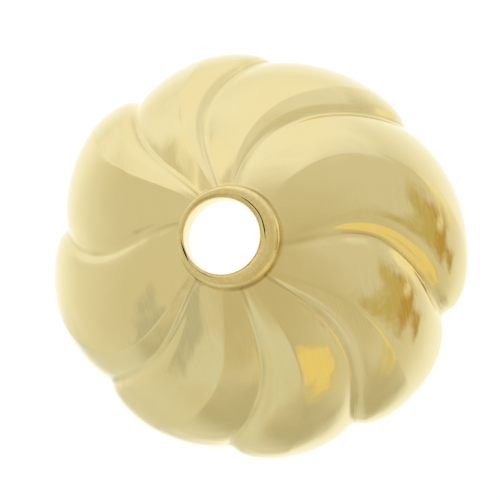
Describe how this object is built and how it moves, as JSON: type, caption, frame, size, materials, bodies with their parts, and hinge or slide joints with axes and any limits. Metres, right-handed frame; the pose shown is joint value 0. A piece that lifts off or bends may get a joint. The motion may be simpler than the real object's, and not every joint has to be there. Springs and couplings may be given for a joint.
{
  "type": "bead cap",
  "caption": "Round domed bead cap with swirled lobes, a hollow bowl that covers one end of a bead, and a thread hole through a low collar at the crown.",
  "frame": {"origin": "middle of the rim's plane, on the collar's axis", "axes": "+Z along the cap's axis, out of the collar; +X towards the middle of a wide lobe's outer edge"},
  "size_m": [0.0119, 0.0116, 0.0053],
  "materials": {
    "gold_plate": "polished gold plate"
  },
  "bodies": {
    "root": {"bead_cap": "gold_plate"}
  },
  "joints": []
}
